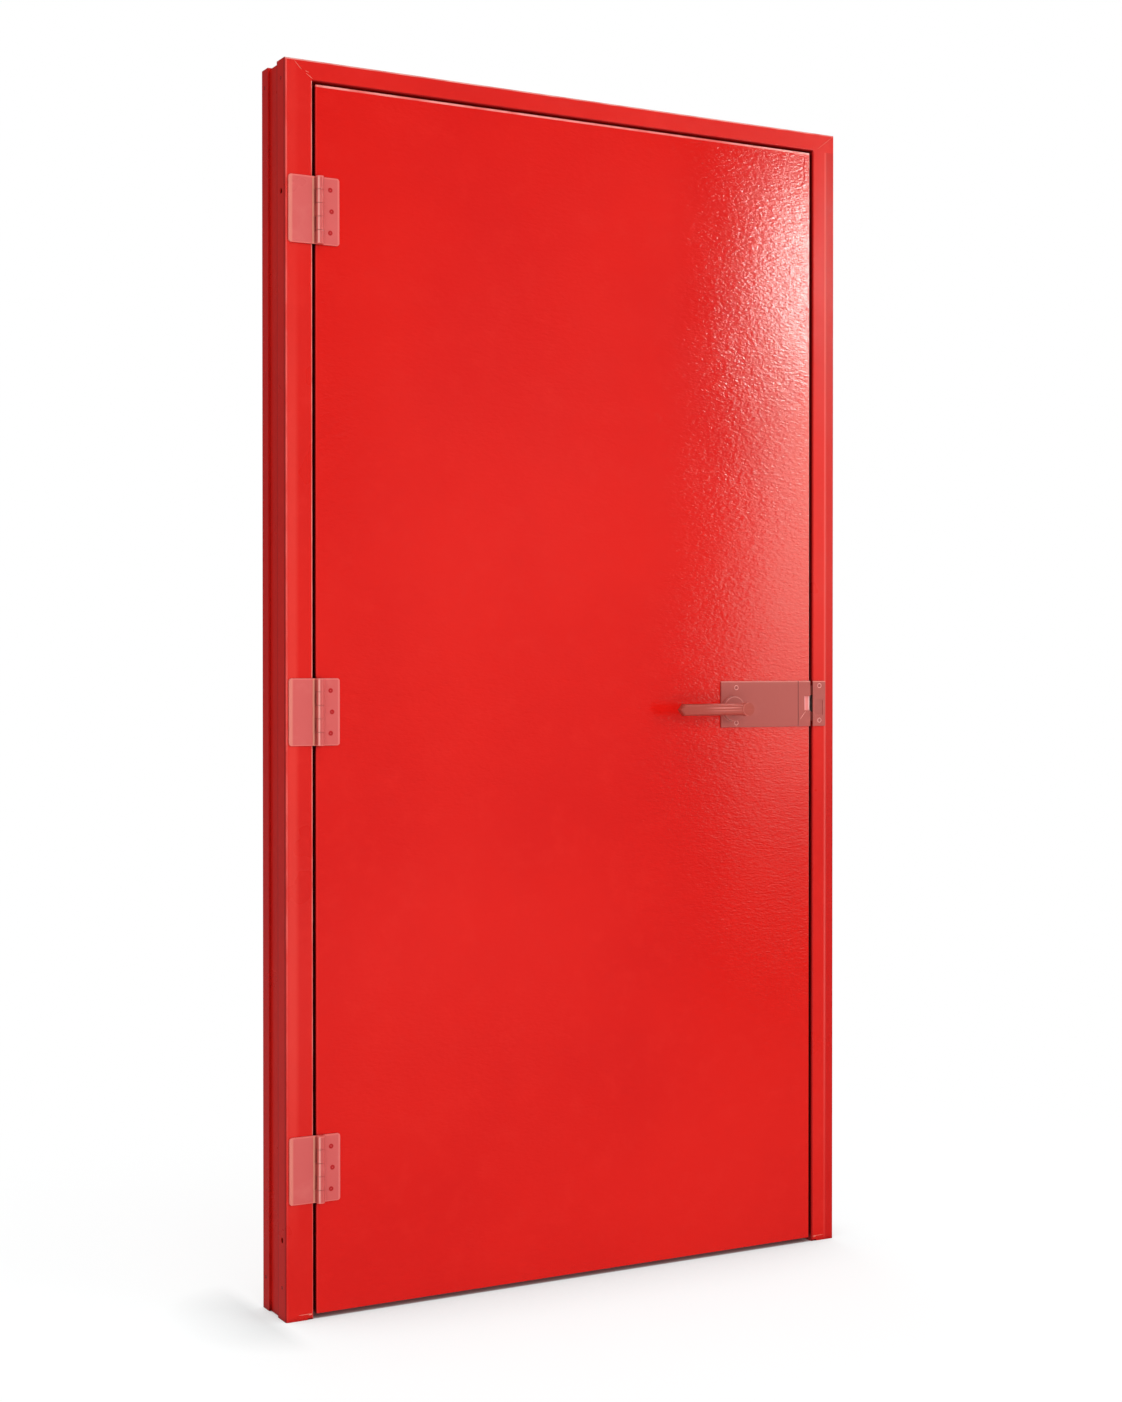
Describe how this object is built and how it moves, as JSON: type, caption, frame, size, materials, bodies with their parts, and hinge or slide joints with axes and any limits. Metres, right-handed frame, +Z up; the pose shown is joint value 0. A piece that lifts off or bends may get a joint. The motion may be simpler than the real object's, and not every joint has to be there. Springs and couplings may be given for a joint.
{
  "type": "steel fire door",
  "caption": "Flush steel fire door leaf in a folded steel frame, hung on knuckle hinges, with a lever handle, a latch and a strike.",
  "frame": {"origin": "wall side of the hinge jamb's front lip, on its line of anchor holes, at floor level", "axes": "+X across the doorway from the hinge side to the lock side, +Y from the face that the leaf opens towards to the rear, +Z up"},
  "size_m": [1.14, 0.1685, 2.15],
  "materials": {
    "frame_paint": "gloss",
    "leaf_paint": "gloss",
    "seal": "matte",
    "hinge_plate": "satin",
    "pin_steel": "satin",
    "lock_plate": "satin",
    "lever": "satin",
    "zinc_steel": "satin",
    "latch": "satin",
    "core": "matte"
  },
  "bodies": {
    "frame": {"hinge_jamb": "frame_paint", "lock_jamb": "frame_paint", "frame_head": "frame_paint", "backing_hinge": "frame_paint", "backing_lock": "frame_paint", "backing_head": "frame_paint", "jamb_foot_hinge": "frame_paint", "jamb_foot_lock": "frame_paint", "seal_hinge": "seal", "seal_lock": "seal", "seal_head": "seal", "strike_plate": "lock_plate", "strike_box": "zinc_steel", "hinge_top_frame_plate": "hinge_plate", "hinge_top_pin": "pin_steel", "hinge_middle_frame_plate": "hinge_plate", "hinge_middle_pin": "pin_steel", "hinge_bottom_frame_plate": "hinge_plate", "hinge_bottom_pin": "pin_steel"},
    "leaf": {"leaf_front_skin": "leaf_paint", "leaf_back_skin": "leaf_paint", "leaf_core": "core", "leaf_channel_bottom": "leaf_paint", "leaf_channel_top": "leaf_paint", "lock_case": "zinc_steel", "lock_forend": "zinc_steel", "lock_plate_front": "lock_plate", "lock_nose_plate": "lock_plate", "lock_plate_back": "lock_plate", "rose_front": "lock_plate", "rose_back": "lock_plate", "hinge_top_leaf_plate": "hinge_plate", "hinge_middle_leaf_plate": "hinge_plate", "hinge_bottom_leaf_plate": "hinge_plate"},
    "lever": {"lever_front": "lever", "lever_back": "lever", "lever_spindle": "zinc_steel"},
    "latch": {"latch_bolt": "latch"}
  },
  "joints": [
    {"name": "leaf_swing", "type": "hinge", "parent": "frame", "child": "leaf", "pos_m": [0.06, -0.0265, 1.0395], "axis": [0, 0, -1], "range_deg": [0, 175]},
    {"name": "lever_turn", "type": "hinge", "parent": "leaf", "child": "lever", "pos_m": [0.903, 0, 1.037], "axis": [0, -1, 0], "range_deg": [0, 40], "stiffness_Nm_per_rad": 1.5, "springref_deg": -57.3},
    {"name": "latch_slide", "type": "slide", "parent": "leaf", "child": "latch", "axis": [-1, 0, 0], "range_m": [0, 0.012]}
  ],
  "couplings": [
    {"joint": "latch_slide", "follows": "lever_turn", "m_per_rad": 0.0171}
  ]
}
